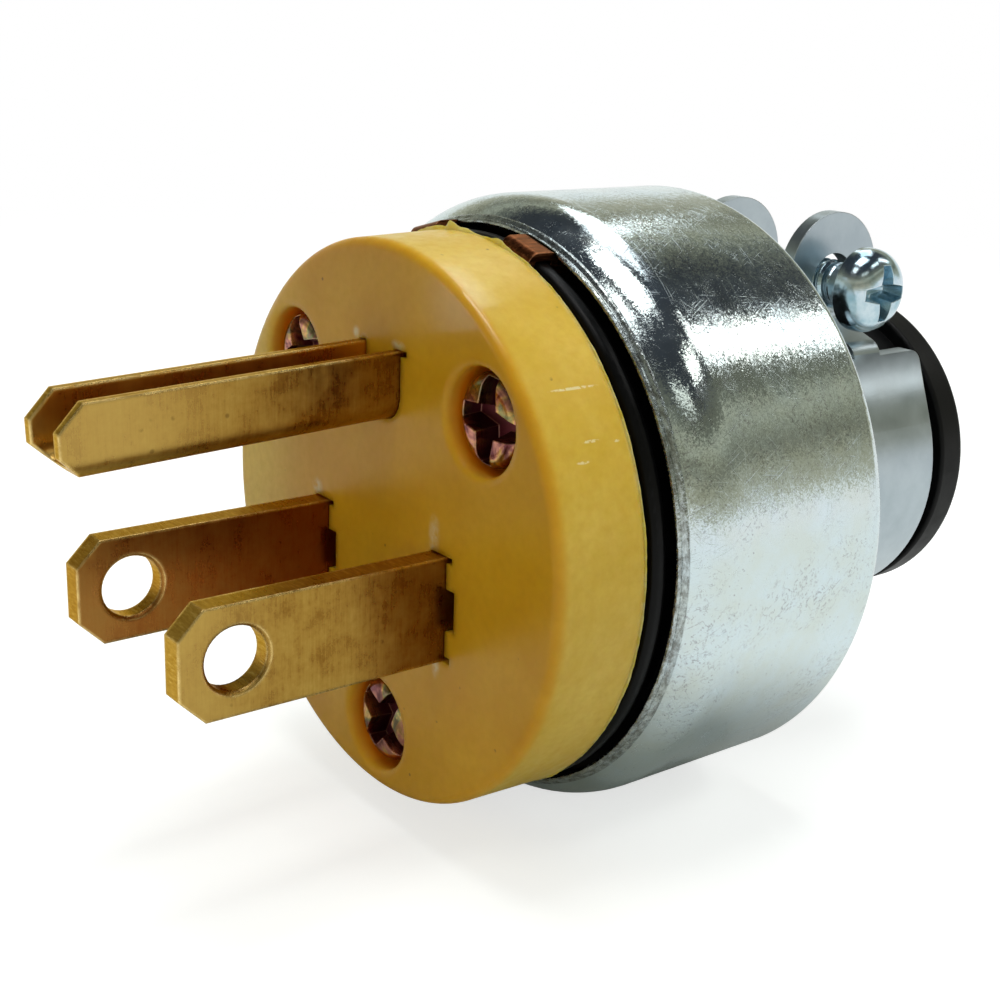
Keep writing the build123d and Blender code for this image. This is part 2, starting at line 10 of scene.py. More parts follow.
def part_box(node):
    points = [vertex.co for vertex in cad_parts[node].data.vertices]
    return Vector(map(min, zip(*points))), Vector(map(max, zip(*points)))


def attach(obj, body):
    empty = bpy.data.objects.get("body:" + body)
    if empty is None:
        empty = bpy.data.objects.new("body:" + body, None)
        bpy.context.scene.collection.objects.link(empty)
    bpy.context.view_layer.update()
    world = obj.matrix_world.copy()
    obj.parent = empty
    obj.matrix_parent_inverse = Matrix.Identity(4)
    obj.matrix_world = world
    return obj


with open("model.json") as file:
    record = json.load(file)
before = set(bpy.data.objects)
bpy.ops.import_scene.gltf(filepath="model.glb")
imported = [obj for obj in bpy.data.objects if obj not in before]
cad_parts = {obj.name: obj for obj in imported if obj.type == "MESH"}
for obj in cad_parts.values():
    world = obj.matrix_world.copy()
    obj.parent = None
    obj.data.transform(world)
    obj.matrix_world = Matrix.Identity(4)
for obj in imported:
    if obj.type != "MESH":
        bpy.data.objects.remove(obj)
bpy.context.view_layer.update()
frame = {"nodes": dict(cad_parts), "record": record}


def srgb(red, green, blue):
    """A colour written as 0 to 255, in the linear values that shaders take."""
    def linear(value):
        value = value / 255
        return value / 12.92 if value <= 0.04045 else ((value + 0.055) / 1.055) ** 2.4
    return (linear(red), linear(green), linear(blue), 1)


# Looks of a three-pin grounding plug with a round steel shell, in metres.
# The plug's axis is Y, the plane of its front face is y = 0, the blades point to -Y, and
# the ground pin is on top.
MM = 0.001
BODY = "root"
WHITE = (1, 1, 1, 1)
BLACK = (0, 0, 0, 1)

# Camera, fitted to the blades, the pin and the round edges of the plug
CAMERA_AZIMUTH = 51.900
CAMERA_ELEVATION = 17.439
CAMERA_ROLL = 2.162
CAMERA_DISTANCE = 93.452 * MM
CAMERA_ASIDE = 7.386 * MM
CAMERA_RAISE = 1.542 * MM
CAMERA_SENSOR = 36.0
CAMERA_LENS = 55.872
CAMERA_NEAREST = 5 * MM

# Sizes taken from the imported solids
SHELL_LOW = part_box("shell")[0]
FACE_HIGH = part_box("front_face")[1]
SCREW_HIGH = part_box("clamp_screw")[1]
NUT_LOW, NUT_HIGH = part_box("clamp_nut")
CLAMP_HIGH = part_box("cord_clamp")[1]
HEADS_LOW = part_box("face_screws")[0]
FLOOR_LEVEL = SHELL_LOW.z
FACE_RADIUS = FACE_HIGH.x / MM
FACE_REAR = FACE_HIGH.y / MM
SHELL_FRONT = SHELL_LOW.y / MM
HEADS_FRONT = HEADS_LOW.y / MM
CLAMP_RADIUS = CLAMP_HIGH.x / MM

# Floor: white paper near the plug, where shadows fall on it, and an even white further off
FLOOR_SIZE = 6.0
FLOOR_COLOUR = (0.57, 0.59, 0.58, 1)
FLOOR_ROUGHNESS = 0.9
FLOOR_CENTRE = (0.0, 0.012, FLOOR_LEVEL)
FLOOR_NEAR = 0.06
FLOOR_FAR = 0.30
FLOOR_GLOW_SEEN = 0.66
FLOOR_GLOW_MIRRORED = 0.38
FLOOR_GLOW_START = 0.016
FLOOR_GLOW_FULL = 0.036

# Sky: colour by the height of a ray, pale at the horizon and dark blue high up
SKY_STOPS = (
    (0.0, (0.90, 0.94, 0.92, 1)),
    (0.03, (0.68, 0.69, 0.62, 1)),
    (0.06, (0.53, 0.52, 0.42, 1)),
    (0.13, (0.43, 0.42, 0.32, 1)),
    (0.19, (0.38, 0.37, 0.27, 1)),
    (0.27, (0.17, 0.17, 0.13, 1)),
    (0.33, (0.28, 0.28, 0.21, 1)),
    (0.38, (0.36, 0.37, 0.28, 1)),
    (0.415, (0.54, 0.54, 0.43, 1)),
    (0.46, (0.30, 0.31, 0.24, 1)),
    (0.50, (0.15, 0.155, 0.12, 1)),
    (0.56, (0.15, 0.155, 0.12, 1)),
    (0.64, (0.09, 0.095, 0.09, 1)),
    (0.69, (0.04, 0.044, 0.05, 1)),
    (1.0, (0.04, 0.047, 0.06, 1)),
)
# Behind the plug, the same colours lie higher
SKY_BACK_LIFT = 0.27
SKY_BACK_START = 0.45
SKY_BACK_FULL = 0.85

# Lamps: (name, place in metres, size in metres, turn in degrees, radiance, radiance in mirrors, colour)
LAMPS = (
    ("ceiling_tube", (0.280, 0.750, 0.60), (0.18, 0.60), -5, 4.2, 2.4, (1.0, 1.0, 0.97)),
    ("ceiling_panel_right", (0.444, 0.270, 0.60), (0.145, 0.29), 19, 9.0, 2.4, (1.0, 1.0, 0.96)),
    ("ceiling_panel_front", (0.630, -0.230, 0.60), (0.12, 0.36), -20, 1.6, 1.2, (0.98, 1.0, 0.90)),
    ("window_back", (-0.330, 0.410, 0.60), (0.27, 0.66), 50, 5.0, 2.0, (0.93, 0.97, 1.0)),
    ("overhead", (0.010, -0.020, 0.60), (0.27, 0.27), 0, 7.1, 4.5, (1.0, 1.0, 0.98)),
    ("front_panel", (0.060, -0.360, 0.60), (0.20, 0.20), 0, 2.0, 2.0, (1.0, 1.0, 0.98)),
)
# A soft lamp from the right of the camera, which doesn't show in mirrors
FILL_PLACE = (0.38, -0.30, 0.16)
FILL_SIZE = 0.30
FILL_RADIANCE = 1.4
FILL_COLOUR = (1, 1, 1)

# Normals that round sharp edges: their samples, and the cosines of their turn where an edge starts and
# is full
EDGE_SAMPLES = 6
EDGE_START = 0.995
EDGE_FULL = 0.86

# Yellow moulding: tones of its side and its front, and the colours laid over them. The side's tones are a lit
# copy and the front's a darker, shaded copy of one plastic: painted light and painted shade.
YELLOW_SIDE_LIT = ((0.30, srgb(213, 176, 56)), (0.70, srgb(227, 195, 88)))
YELLOW_FRONT_SHADED = ((0.30, srgb(206, 149, 20)), (0.70, srgb(220, 167, 36)))
YELLOW_LEFT_LIGHT = srgb(238, 204, 92)
YELLOW_DEEP = srgb(190, 140, 22)
YELLOW_BORE_GLOW_AND_SHADE = srgb(236, 136, 10)
YELLOW_SPECKS = srgb(96, 54, 8)
YELLOW_STRESSED = srgb(232, 222, 186)
YELLOW_SCUFFED = srgb(240, 226, 176)
YELLOW_RIM = srgb(236, 216, 150)
YELLOW_SPECULAR = 0.24
YELLOW_INDEX = 1.5
YELLOW_ROUNDING = 0.7 * MM
# How much light goes into it, how deep, and the shares of that depth for red, green and blue
YELLOW_CLEARNESS = 0.5
YELLOW_DEPTH = 1.2 * MM
YELLOW_DEPTH_SHARES = (1.0, 0.55, 0.12)
# Places on the yellow face, in millimetres: the left of its front, painted paler as light (x), where the
# front's shaded colours turn into the side's lit ones (y), its pale rear rim, its counterbores, where glow
# and shade are painted, and the pale marks of stress as (place, reach)
FACE_LEFT_LIGHT = (-7.0, -16.0)
FACE_ARRIS = (0.0, 0.9)
FACE_RIM_WIDTH = 0.35
FACE_SCREW_CIRCLE = 13.01
FACE_SCREW_ANGLES = (41.5, 139, 270)
# Reach of the counterbores, and the depth over which their painted glow and shade deepen
COUNTERBORE_REACH = 3.35
COUNTERBORE_SHADE = (0.1, 1.0)
ENDLESS = 100.0
STRESS_MARKS = (
    ((5.9, 0.0, 1.2), (0.7, 1.5, 1.5)),
    ((6.3, 0.0, -6.9), (0.6, 1.5, 0.9)),
    ((-6.9, 0.0, 0.7), (0.8, 1.5, 0.7)),
    ((-2.5, 0.0, 11.4), (0.5, 1.5, 0.5)),
    ((1.9, 0.0, 11.4), (0.9, 1.5, 0.4)),
)
# Where the front edge is worn shiny
POLISHED_PLACE = (8.2, 0.4, 14.9)
POLISHED_REACH = (5.0, 2.2, 5.0)
POLISHED_ROUGHNESS = 0.10
# Scuffs on its side: angle in degrees, and where they start and end along the axis
SCUFFS = ((39.0, 1.3, 5.6), (29.0, 2.6, 4.2), (28.4, 4.7, 5.4), (25.5, 2.0, 3.2))
SCUFF_WIDTH = 0.12

# Brass: its tones, the tones of its cut faces, partly their sheared finish and partly painted highlight, and
# the colours laid over them
BRASS_TONES = ((0.37, srgb(126, 86, 30)), (0.50, srgb(164, 127, 56)), (0.63, srgb(183, 149, 72)))
BRASS_CUT_FINISH_AND_SHEEN = ((0.36, srgb(158, 110, 38)), (0.56, srgb(196, 154, 70)), (0.70, srgb(240, 206, 122)))
BRASS_TIP_LIGHT = srgb(206, 172, 96)
BRASS_ROOT_SHADE_AND_OXIDE = srgb(112, 64, 18)
BRASS_FAR_SHADE_AND_REFLECTION = srgb(142, 54, 12)
BRASS_DOTS = srgb(84, 52, 22)
BRASS_CHANNEL_LIGHT = srgb(250, 188, 84)
BRASS_EDGE_WEAR_AND_GLINT = srgb(255, 224, 150)
BRASS_TINT = (1.0, 0.80, 0.42, 1)
BRASS_ROUNDING = 0.30 * MM
# Where those start and are full, in millimetres: the tips' painted light and the roots' painted shade and
# oxide (y), from the blades up to the pin (z), and the far blade's painted shade and reflection (x, and y)
TIP_PALE = (-9.0, -18.0)
ROOT_DARK = (-7.0, -0.3)
PIN_ABOVE = (2.0, 6.0)
FAR_ASIDE = (-2.5, -5.0)
FAR_ALONG = (-15.0, -8.0)
# Inside of the ground pin, in millimetres: half its width, its floor, and its turn in degrees
PIN_INSIDE = 1.5
PIN_FLOOR = 7.4
PIN_YAW = 1.3
# Its painted light, by height above the floor
PIN_GLEAM = (PIN_FLOOR + 0.8, PIN_FLOOR + 3.2)

# Copper strap
COPPER_TONES = ((0.32, srgb(70, 34, 18)), (0.55, srgb(120, 68, 40)), (0.72, srgb(174, 112, 74)))
COPPER_EDGE_HIGHLIGHT = srgb(206, 150, 116)
COPPER_TINT = (1.0, 0.80, 0.66, 1)
COPPER_ROUNDING = 0.08 * MM

# Shell: its tones, the grime on it and on its lip, how far behind the lip's front that starts and is
# full in millimetres, and scratches as (direction in degrees, length, level of noise that they start at)
SHELL_TONES = ((0.34, srgb(210, 220, 217)), (0.66, srgb(212, 226, 231)))
SHELL_GRIME = srgb(120, 108, 120)
SHELL_LIP_GRIME = srgb(108, 108, 102)
SHELL_LIP_WIDTH = (0.22, 0.14)
SHELL_SCRATCHES = ((8, 4.0, 0.64), (62, 3.0, 0.65), (-38, 3.5, 0.65), (100, 2.0, 0.67))
SHELL_TRAILS = (52, 5.0, 0.63)
SHELL_ROUNDING = 0.08 * MM
SCRATCH_FINENESS = 11.0
SCRATCH_SOFTNESS = 0.06
# Small flat crystals that tip the normal: (cells per millimetre, amount)
SHELL_CRYSTALS = ((3.5, 0.022), (14.0, 0.065))

# Other zinc plating, the painted highlight on its edges, and the bow of the clamp's sides in millimetres:
# where the sides leave the round band, how high they rise, and the radius of the bow
ZINC_EDGE_HIGHLIGHT = srgb(240, 246, 248)
ZINC_ROUNDING = 0.09 * MM
BAND_END_ANGLE = 20
BOW_START = CLAMP_RADIUS * math.sin(math.radians(BAND_END_ANGLE))
BOW_HEIGHT = 5.0
BOW_END = BOW_START + BOW_HEIGHT
BOW_RADIUS = 6.5

# Yellow chromate of the face screws, and how far down their recesses turn dark with painted shade, in
# millimetres
CHROMATE_TONES = (
    (0.34, srgb(112, 62, 66)),
    (0.43, srgb(198, 134, 116)),
    (0.50, srgb(214, 172, 100)),
    (0.57, srgb(126, 134, 92)),
    (0.66, srgb(164, 98, 100)),
)
CHROMATE_SHADE = srgb(72, 40, 36)
CHROMATE_RECESS_SHADE = srgb(112, 58, 66)
CHROMATE_EDGE_HIGHLIGHT = srgb(216, 176, 140)
CHROMATE_ROUNDING = 0.12 * MM
RECESS_DEPTHS = (HEADS_FRONT + 0.15, HEADS_FRONT + 0.9)

# Black mouldings
BLACK_ROUNDING = 0.10 * MM

# Thread of the clamp screw
THREAD_PITCH = 0.70 * MM
THREAD_ROOT = 1.40 * MM
THREAD_CREST = 1.62 * MM
THREAD_FLAT = 0.10 * MM
THREAD_HALF_WIDTH = THREAD_PITCH * 0.44
THREAD_BELOW_HEAD_TOP = 3.6 * MM
THREAD_STEPS = 36
# It rises from the shank over one part in this many of its length, at each end
THREAD_RUN_OUT = 12

# The noise of ragged edges is read from a random place, up to this far off
NOISE_SHIFT = 50

# Flash on the rear rim of the yellow face: a thin ragged fin. Its edge starts and ends at shares of its
# depth, and its height varies about a share of the height given.
FLASH_STEPS = 900
FLASH_INSIDE = 0.12 * MM
FLASH_INSET = 0.02 * MM
FLASH_DEPTH = 0.24 * MM
FLASH_HEIGHT = 0.09 * MM
FLASH_LEAST = 0.1
FLASH_USUAL = 0.5
FLASH_EDGE = (0.2, 0.08)
FLASH_WAVES = 9
FLASH_RIPPLES = 34
FLASH_RIPPLE_SHARE = 0.6
# It is higher at peaks near the top: (angle, reach in degrees, height)
FLASH_PEAKS = ((97.0, 10.0, 0.30 * MM), (94.5, 1.6, 0.16 * MM), (80.0, 5.0, 0.16 * MM))
PEAK_USUAL = 0.75
PEAK_RAGGED = 0.5
FLASH_ROUNDING = 0.02 * MM
FLASH_SEED = 7

# Raw edge of the shell's lip: two fine ridges, in millimetres, as (radius, place behind the lip's front,
# share of the raggedness)
LIP_STEPS = 1500
LIP_FLOOR = 17.50
LIP_REAR = 0.33
LIP_NOSE = -0.25
LIP_RIDGES = (
    (17.63, -0.40, 0.5),
    (17.78, -0.37, 1.0),
    (17.87, -0.25, 0.8),
    (17.85, -0.13, 0.1),
    (17.95, -0.04, 0.6),
    (18.06, 0.05, 1.0),
    (18.10, 0.17, 0.6),
    (18.02, 0.33, 0.0),
)
LIP_THINNEST = 0.02
LIP_RAGGED = 0.035
LIP_RAGGED_ALONG = 0.6
LIP_WAVES = 12
LIP_WAVE_SHARE = 0.8
LIP_WAVE_SHIFT = 0.1
LIP_RIPPLES = 75
LIP_RIPPLE_SHIFT = 0.3
LIP_JITTER = 0.35
LIP_SEED = 11
# Its floor is higher where the copper tabs pass below: angles and reach in degrees, lift in millimetres
LIP_TAB_ANGLES = (74.5, 105.5)
LIP_TAB_REACH = 6.5
LIP_TAB_LIFT = 0.34
LIP_TAB_SLOPE = 3


# Short calls for node trees


def put(tree, socket, value):
    """Link a socket to another, or set its own value."""
    if isinstance(value, bpy.types.NodeSocket):
        tree.links.new(value, socket)
    else:
        socket.default_value = value


def calc(tree, operation, *values):
    """A Math node's result."""
    node = tree.nodes.new("ShaderNodeMath")
    node.operation = operation
    for socket, value in zip(node.inputs, values):
        put(tree, socket, value)
    return node.outputs[0]


def plus(tree, first, second):
    """Two numbers added."""
    return calc(tree, "ADD", first, second)


def minus(tree, first, second):
    """One number taken from another."""
    return calc(tree, "SUBTRACT", first, second)


def times(tree, first, second):
    """Two numbers multiplied."""
    return calc(tree, "MULTIPLY", first, second)


def larger(tree, first, second):
    """The larger of two numbers."""
    return calc(tree, "MAXIMUM", first, second)


def vector_calc(tree, operation, *values):
    """A Vector Math node, as a node, because some results are numbers."""
    node = tree.nodes.new("ShaderNodeVectorMath")
    node.operation = operation
    for socket, value in zip(node.inputs, values):
        put(tree, socket, value)
    return node


def remap(tree, value, low, high, to_low=0.0, to_high=1.0, smooth=False):
    """A number moved from one range to another, and held inside it."""
    node = tree.nodes.new("ShaderNodeMapRange")
    node.interpolation_type = "SMOOTHSTEP" if smooth else "LINEAR"
    for name, number in (("Value", value), ("From Min", low), ("From Max", high),
                         ("To Min", to_low), ("To Max", to_high)):
        put(tree, node.inputs[name], number)
    return node.outputs["Result"]


def ramp(tree, value, stops):
    """A colour ramp, from (place, colour) pairs."""
    node = tree.nodes.new("ShaderNodeValToRGB")
    bar = node.color_ramp
    while len(bar.elements) < len(stops):
        bar.elements.new(0.5)
    for element, (place, colour) in zip(bar.elements, stops):
        element.position = place
        element.color = colour
    put(tree, node.inputs["Fac"], value)
    return node.outputs["Color"]


def mix(tree, share, first, second):
    """Two colours mixed."""
    node = tree.nodes.new("ShaderNodeMix")
    node.data_type = "RGBA"
    put(tree, node.inputs["Factor"], share)
    put(tree, node.inputs["A"], first)
    put(tree, node.inputs["B"], second)
    return node.outputs["Result"]


def place_mm(tree, stretch=(1, 1, 1)):
    """Where a point is on the plug, in millimetres, stretched along the axes."""
    source = tree.nodes.new("ShaderNodeTexCoord").outputs["Object"]
    scale = tuple(part / MM for part in stretch)
    return vector_calc(tree, "MULTIPLY", source, scale).outputs["Vector"]


def split(tree, where):
    """The three numbers of a vector."""
    node = tree.nodes.new("ShaderNodeSeparateXYZ")
    put(tree, node.inputs["Vector"], where)
    return node.outputs["X"], node.outputs["Y"], node.outputs["Z"]


def joined(tree, x, y, z):
    """A vector from three numbers."""
    node = tree.nodes.new("ShaderNodeCombineXYZ")
    for socket, value in zip(node.inputs, (x, y, z)):
        put(tree, socket, value)
    return node.outputs["Vector"]


def round_mm(tree, where, stretch=(1, 1, 1)):
    """A point as (arc from +X, y, radius) about the plug's axis, in millimetres, stretched along each."""
    x, y, z = split(tree, where)
    radius = calc(tree, "SQRT", plus(tree, times(tree, x, x), times(tree, z, z)))
    arc = times(tree, calc(tree, "ARCTAN2", z, x), radius)
    return vector_calc(tree, "MULTIPLY", joined(tree, arc, y, radius), stretch).outputs["Vector"]


def grain(tree, where, scale, detail=2.0, roughness=0.5, distortion=0.0):
    """A noise value with a scale per millimetre."""
    node = tree.nodes.new("ShaderNodeTexNoise")
    put(tree, node.inputs["Vector"], where)
    node.inputs["Scale"].default_value = scale
    node.inputs["Detail"].default_value = detail
    node.inputs["Roughness"].default_value = roughness
    node.inputs["Distortion"].default_value = distortion
    return node.outputs["Fac"]


def cells(tree, where, scale):
    """A Voronoi distance with a scale per millimetre."""
    node = tree.nodes.new("ShaderNodeTexVoronoi")
    put(tree, node.inputs["Vector"], where)
    node.inputs["Scale"].default_value = scale
    return node.outputs["Distance"]


def spot(tree, where, centre, reach):
    """One at a place, falling to nothing at a distance along each axis."""
    away = vector_calc(tree, "SUBTRACT", where, centre).outputs["Vector"]
    away = vector_calc(tree, "DIVIDE", away, reach).outputs["Vector"]
    return remap(tree, vector_calc(tree, "LENGTH", away).outputs["Value"], 1.0, 0.0, smooth=True)


def strongest(tree, masks):
    """The largest of several numbers at each point."""
    best = masks[0]
    for mask in masks[1:]:
        best = larger(tree, best, mask)
    return best


def spots(tree, where, places):
    """The strongest of several spots."""
    return strongest(tree, [spot(tree, where, centre, reach) for centre, reach in places])


def bump(tree, height, strength, distance, normal):
    """A bumped normal, with the height's distance in metres."""
    node = tree.nodes.new("ShaderNodeBump")
    node.inputs["Strength"].default_value = strength
    node.inputs["Distance"].default_value = distance
    put(tree, node.inputs["Height"], height)
    put(tree, node.inputs["Normal"], normal)
    return node.outputs["Normal"]


def soft_normal(tree, radius):
    """A normal that rounds sharp edges."""
    node = tree.nodes.new("ShaderNodeBevel")
    node.samples = EDGE_SAMPLES
    node.inputs["Radius"].default_value = radius
    return node.outputs["Normal"]


def edge_mask(tree, rounded):
    """One along the edges that a soft normal rounds."""
    flat = tree.nodes.new("ShaderNodeNewGeometry").outputs["True Normal"]
    same = vector_calc(tree, "DOT_PRODUCT", rounded, flat).outputs["Value"]
    return remap(tree, same, EDGE_START, EDGE_FULL)


def material(name):
    """A new material, its tree and its Principled shader."""
    made = bpy.data.materials.new(name)
    made.use_nodes = True
    shader = made.node_tree.nodes["Principled BSDF"]
    return made, made.node_tree, shader


def set_surface(tree, shader, colour, roughness, normal, metallic=1.0):
    """Link what every surface here needs."""
    shader.inputs["Metallic"].default_value = metallic
    put(tree, shader.inputs["Base Color"], colour)
    put(tree, shader.inputs["Roughness"], roughness)
    put(tree, shader.inputs["Normal"], normal)


# Materials


def bore_mask(tree, where, along):
    """One inside the three counterbores of the yellow face, fading out towards its front: where their orange
    painted glow and painted shade go.
    """
    bores = []
    for angle in FACE_SCREW_ANGLES:
        turn = math.radians(angle)
        centre = (FACE_SCREW_CIRCLE * math.cos(turn), 0.0, FACE_SCREW_CIRCLE * math.sin(turn))
        bores.append((centre, (2 * COUNTERBORE_REACH, ENDLESS, 2 * COUNTERBORE_REACH)))
    inside = remap(tree, spots(tree, where, bores), 0.46, 0.54)
    return times(tree, inside, remap(tree, along, *COUNTERBORE_SHADE))


def scuff_mask(tree, where):
    """Broken thin lines along the side of the yellow face."""
    lines = []
    for angle, start, end in SCUFFS:
        centre = (math.radians(angle) * FACE_RADIUS, (start + end) / 2, FACE_RADIUS)
        lines.append((centre, (SCUFF_WIDTH, (end - start) / 2, FACE_RADIUS)))
    broken = remap(tree, grain(tree, where, 3.6, 3, 0.6), 0.38, 0.52)
    return remap(tree, times(tree, spots(tree, round_mm(tree, where), lines), broken), 0.05, 0.35)


def yellow_plastic(name, rounding):
    """Mustard moulding, a little translucent, with specks, scuffs and pale marks at slots and rear rim, and
    painted light and shade: a lit side, a shaded front painted paler at its left, and counterbores painted
    with glow and shade.
    """
    made, tree, shader = material(name)
    where = place_mm(tree)
    across, along, _ = split(tree, where)
    clouds = grain(tree, where, 0.16, 3, 0.55)
    fine = grain(tree, where, 1.6, 4, 0.6)
    # Painted light and shade: a lit copy of the tones for the side, a shaded copy for the front
    side = ramp(tree, clouds, YELLOW_SIDE_LIT)
    front = ramp(tree, clouds, YELLOW_FRONT_SHADED)
    # Painted light: the front turns paler towards its left
    front = mix(tree, remap(tree, across, *FACE_LEFT_LIGHT, 0.0, 0.80, smooth=True), front, YELLOW_LEFT_LIGHT)
    colour = mix(tree, remap(tree, along, *FACE_ARRIS, smooth=True), front, side)
    colour = mix(tree, remap(tree, fine, 0.35, 0.75, 0.0, 0.30), colour, YELLOW_DEEP)
    # Painted glow of light through the plastic and painted shade, deepening down the counterbores
    colour = mix(tree, bore_mask(tree, where, along), colour, YELLOW_BORE_GLOW_AND_SHADE)

    speck = remap(tree, cells(tree, where, 0.55), 0.075, 0.04)
    speck = times(tree, speck, remap(tree, grain(tree, where, 0.9, 1), 0.52, 0.60))
    colour = mix(tree, times(tree, speck, 0.6), colour, YELLOW_SPECKS)
    uneven = remap(tree, grain(tree, where, 0.9, 5, 0.65), 0.34, 0.62)
    colour = mix(tree, times(tree, spots(tree, where, STRESS_MARKS), uneven), colour, YELLOW_STRESSED)
    colour = mix(tree, times(tree, scuff_mask(tree, where), 0.75), colour, YELLOW_SCUFFED)
    rim = times(tree, remap(tree, along, FACE_REAR - FACE_RIM_WIDTH, FACE_REAR),
                remap(tree, grain(tree, where, 1.1, 4, 0.7), 0.42, 0.62))
    colour = mix(tree, times(tree, rim, 0.7), colour, YELLOW_RIM)

    rounded = soft_normal(tree, rounding)
    polish = remap(tree, edge_mask(tree, rounded), 0.2, 1.0, 0.0, 0.12)
    roughness = minus(tree, remap(tree, fine, 0.3, 0.7, 0.28, 0.42), polish)
    height = plus(tree, grain(tree, where, 0.45, 2), times(tree, fine, 0.20))
    normal = bump(tree, height, 0.35, 0.03 * MM, rounded)
    set_surface(tree, shader, colour, roughness, normal, metallic=0.0)
    shader.inputs["Specular IOR Level"].default_value = YELLOW_SPECULAR
    shader.inputs["IOR"].default_value = YELLOW_INDEX
    shader.inputs["Subsurface Weight"].default_value = YELLOW_CLEARNESS
    shader.inputs["Subsurface Radius"].default_value = YELLOW_DEPTH_SHARES
    shader.inputs["Subsurface Scale"].default_value = YELLOW_DEPTH
    put(tree, shader.inputs["Coat Weight"], spot(tree, where, POLISHED_PLACE, POLISHED_REACH))
    shader.inputs["Coat Roughness"].default_value = POLISHED_ROUGHNESS
    return made


def channel_light_mask(tree, where):
    """Painted light inside the ground pin's channel, more strongly high up than near its floor."""
    across, along, up = split(tree, where)
    middle = plus(tree, across, times(tree, along, math.tan(math.radians(PIN_YAW))))
    between = remap(tree, calc(tree, "ABSOLUTE", middle), PIN_INSIDE + 0.12, PIN_INSIDE + 0.04)
    channel = times(tree, between, remap(tree, up, PIN_FLOOR - 0.3, PIN_FLOOR))
    return times(tree, channel, remap(tree, up, *PIN_GLEAM, 0.10, 0.80))


def brass():
    """Rolled brass: brown blotches, faint lines, tips paled by painted light, roots darkened by painted shade
    and oxide, a far blade reddened by painted shade and reflection, and edges brightened by wear and painted
    glints.
    """
    made, tree, shader = material("blade_brass")
    where = place_mm(tree)
    across, along, up = split(tree, where)
    blotch = grain(tree, where, 0.42, 5, 0.62)
    lines = grain(tree, place_mm(tree, (0.8, 5.0, 0.35)), 1.0, 4, 0.7)
    mottle = grain(tree, where, 2.6, 3, 0.65)
    tone = plus(tree, times(tree, blotch, 0.58), times(tree, lines, 0.26))
    tone = plus(tree, tone, times(tree, mottle, 0.16))
    colour = ramp(tree, tone, BRASS_TONES)
    # Painted light paler towards the tips, and painted shade with some oxide darker at the roots
    colour = mix(tree, remap(tree, along, *TIP_PALE, 0.0, 0.45, smooth=True), colour, BRASS_TIP_LIGHT)
    root = remap(tree, along, *ROOT_DARK, 0.0, 0.48, smooth=True)
    root = times(tree, root, remap(tree, up, *PIN_ABOVE, 1.0, 0.15))
    colour = mix(tree, root, colour, BRASS_ROOT_SHADE_AND_OXIDE)
    # Painted shade and painted reflection: the far blade darker and redder
    far = times(tree, remap(tree, across, *FAR_ASIDE), remap(tree, along, *FAR_ALONG, 0.80, 1.0))
    colour = mix(tree, times(tree, far, 0.58), colour, BRASS_FAR_SHADE_AND_REFLECTION)
    dots = remap(tree, cells(tree, where, 0.9), 0.16, 0.08)
    dots = times(tree, dots, remap(tree, blotch, 0.52, 0.60))
    colour = mix(tree, times(tree, dots, 0.5), colour, BRASS_DOTS)
    # Painted light inside the ground pin's channel
    colour = mix(tree, channel_light_mask(tree, where), colour, BRASS_CHANNEL_LIGHT)

    # Cut faces are those that don't look sideways. Their paler tones are partly a sheared finish and partly
    # painted highlight.
    sideways = split(tree, tree.nodes.new("ShaderNodeNewGeometry").outputs["True Normal"])[0]
    cut = remap(tree, calc(tree, "ABSOLUTE", sideways), 0.75, 0.55)
    drawn = grain(tree, place_mm(tree, (1.2, 7.0, 7.0)), 1.0, 4, 0.7)
    colour = mix(tree, times(tree, cut, 0.6), colour, ramp(tree, drawn, BRASS_CUT_FINISH_AND_SHEEN))
    rounded = soft_normal(tree, BRASS_ROUNDING)
    # Bright edges: partly wear, partly painted glints
    wear_and_glint_breaks = remap(tree, grain(tree, where, 1.4, 3, 0.6), 0.36, 0.56, 0.35, 1.0)
    worn_and_glinting = times(tree, edge_mask(tree, rounded), wear_and_glint_breaks)
    colour = mix(tree, worn_and_glinting, colour, BRASS_EDGE_WEAR_AND_GLINT)

    height = plus(tree, lines, times(tree, mottle, 0.5))
    normal = bump(tree, height, 0.45, 0.012 * MM, rounded)
    normal = bump(tree, times(tree, drawn, cut), 0.5, 0.03 * MM, normal)
    roughness = minus(tree, remap(tree, tone, 0.40, 0.60, 0.24, 0.38), times(tree, worn_and_glinting, 0.08))
    set_surface(tree, shader, colour, roughness, normal)
    shader.inputs["Specular Tint"].default_value = BRASS_TINT
    return made


def copper():
    """Brown copper strip with lines from rolling, and edges lightened by painted highlight."""
    made, tree, shader = material("strap_copper")
    tone = grain(tree, place_mm(tree, (4.0, 0.5, 4.0)), 1.0, 4, 0.65)
    rounded = soft_normal(tree, COPPER_ROUNDING)
    colour = ramp(tree, tone, COPPER_TONES)
    # Painted highlight along the edges
    colour = mix(tree, times(tree, edge_mask(tree, rounded), 0.6), colour, COPPER_EDGE_HIGHLIGHT)
    normal = bump(tree, tone, 0.5, 0.015 * MM, rounded)
    set_surface(tree, shader, colour, remap(tree, tone, 0.3, 0.7, 0.26, 0.40), normal)
    shader.inputs["Specular Tint"].default_value = COPPER_TINT
    return made


def streaks(tree, flat, angle, length, low):
    """Thin scratches that run one way over a surface laid out flat."""
    arc, along, radius = split(tree, flat)
    cosine, sine = math.cos(math.radians(angle)), math.sin(math.radians(angle))
    forward = plus(tree, times(tree, arc, cosine), times(tree, along, sine))
    sideways = minus(tree, times(tree, along, cosine), times(tree, arc, sine))
    spread = joined(tree, times(tree, forward, 1 / length), times(tree, sideways, SCRATCH_FINENESS), radius)
    return remap(tree, grain(tree, spread, 1.0, 2, 0.5, 0.2), low, low + SCRATCH_SOFTNESS)


